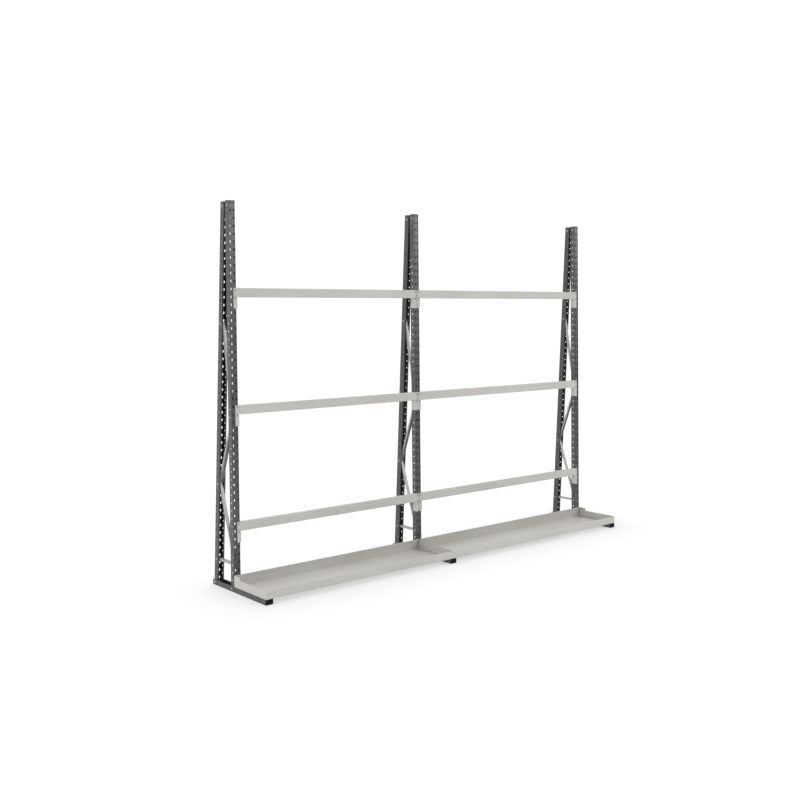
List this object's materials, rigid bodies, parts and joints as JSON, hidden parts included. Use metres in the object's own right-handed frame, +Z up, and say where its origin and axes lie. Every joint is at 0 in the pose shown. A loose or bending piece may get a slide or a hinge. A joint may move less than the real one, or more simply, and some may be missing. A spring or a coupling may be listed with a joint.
{
  "type": "lean-in vertical storage rack",
  "caption": "Two-bay steel rack with A-shaped perforated frames, hooked cross beams and low floor trays, for storing long goods upright.",
  "frame": {"origin": "on the floor, under the middle of the rack's overall box", "axes": "+X along the row, -Y the side the goods go in from, +Z up"},
  "size_m": [3.417, 0.642, 2.5043],
  "materials": {
    "upright_steel": "dark grey powder coat",
    "shelf_paint": "light warm grey powder coat",
    "zinc_steel": "galvanised sheet",
    "zinc_bolts": "zinc plated",
    "black_plastic": "black moulded plastic"
  },
  "bodies": {
    "frames": {"left_front_upright": "upright_steel", "left_rear_upright": "upright_steel", "left_foot": "upright_steel", "left_foot_cap": "black_plastic", "left_horizontal_brace": "zinc_steel", "left_lower_brace": "zinc_steel", "left_middle_brace": "zinc_steel", "left_upper_brace": "zinc_steel", "left_top_link": "upright_steel", "left_brace_rivets": "zinc_bolts", "left_brace_sleeves": "zinc_bolts", "left_foot_bolts": "zinc_bolts", "middle_front_upright": "upright_steel", "middle_rear_upright": "upright_steel", "middle_foot": "upright_steel", "middle_foot_cap": "black_plastic", "middle_horizontal_brace": "zinc_steel", "middle_lower_brace": "zinc_steel", "middle_middle_brace": "zinc_steel", "middle_upper_brace": "zinc_steel", "middle_top_link": "upright_steel", "middle_brace_rivets": "zinc_bolts", "middle_brace_sleeves": "zinc_bolts", "middle_foot_bolts": "zinc_bolts", "right_front_upright": "upright_steel", "right_rear_upright": "upright_steel", "right_foot": "upright_steel", "right_foot_cap": "black_plastic", "right_horizontal_brace": "zinc_steel", "right_lower_brace": "zinc_steel", "right_middle_brace": "zinc_steel", "right_upper_brace": "zinc_steel", "right_top_link": "upright_steel", "right_brace_rivets": "zinc_bolts", "right_brace_sleeves": "zinc_bolts", "right_foot_bolts": "zinc_bolts"},
    "left_top_beam_set": {"left_top_beam": "shelf_paint", "left_top_beam_left_connector": "shelf_paint", "left_top_beam_right_connector": "shelf_paint"},
    "left_centre_beam_set": {"left_centre_beam": "shelf_paint", "left_centre_beam_left_connector": "shelf_paint", "left_centre_beam_right_connector": "shelf_paint"},
    "left_bottom_beam_set": {"left_bottom_beam": "shelf_paint", "left_bottom_beam_left_connector": "shelf_paint", "left_bottom_beam_right_connector": "shelf_paint"},
    "right_top_beam_set": {"right_top_beam": "shelf_paint", "right_top_beam_left_connector": "shelf_paint", "right_top_beam_right_connector": "shelf_paint"},
    "right_centre_beam_set": {"right_centre_beam": "shelf_paint", "right_centre_beam_left_connector": "shelf_paint", "right_centre_beam_right_connector": "shelf_paint"},
    "right_bottom_beam_set": {"right_bottom_beam": "shelf_paint", "right_bottom_beam_left_connector": "shelf_paint", "right_bottom_beam_right_connector": "shelf_paint"},
    "left_tray_body": {"left_tray": "shelf_paint"},
    "right_tray_body": {"right_tray": "shelf_paint"}
  },
  "joints": [
    {"name": "left_top_beam_unhook", "type": "slide", "parent": "frames", "child": "left_top_beam_set", "axis": [0, 0.016, 0.9999], "range_m": [0, 0.007]},
    {"name": "left_centre_beam_unhook", "type": "slide", "parent": "frames", "child": "left_centre_beam_set", "axis": [0, 0.016, 0.9999], "range_m": [0, 0.007]},
    {"name": "left_bottom_beam_unhook", "type": "slide", "parent": "frames", "child": "left_bottom_beam_set", "axis": [0, 0.016, 0.9999], "range_m": [0, 0.007]},
    {"name": "right_top_beam_unhook", "type": "slide", "parent": "frames", "child": "right_top_beam_set", "axis": [0, 0.016, 0.9999], "range_m": [0, 0.007]},
    {"name": "right_centre_beam_unhook", "type": "slide", "parent": "frames", "child": "right_centre_beam_set", "axis": [0, 0.016, 0.9999], "range_m": [0, 0.007]},
    {"name": "right_bottom_beam_unhook", "type": "slide", "parent": "frames", "child": "right_bottom_beam_set", "axis": [0, 0.016, 0.9999], "range_m": [0, 0.007]},
    {"name": "left_tray_lift", "type": "slide", "parent": "frames", "child": "left_tray_body", "axis": [0, 0, 1], "range_m": [0, 0.15]},
    {"name": "right_tray_lift", "type": "slide", "parent": "frames", "child": "right_tray_body", "axis": [0, 0, 1], "range_m": [0, 0.15]}
  ]
}
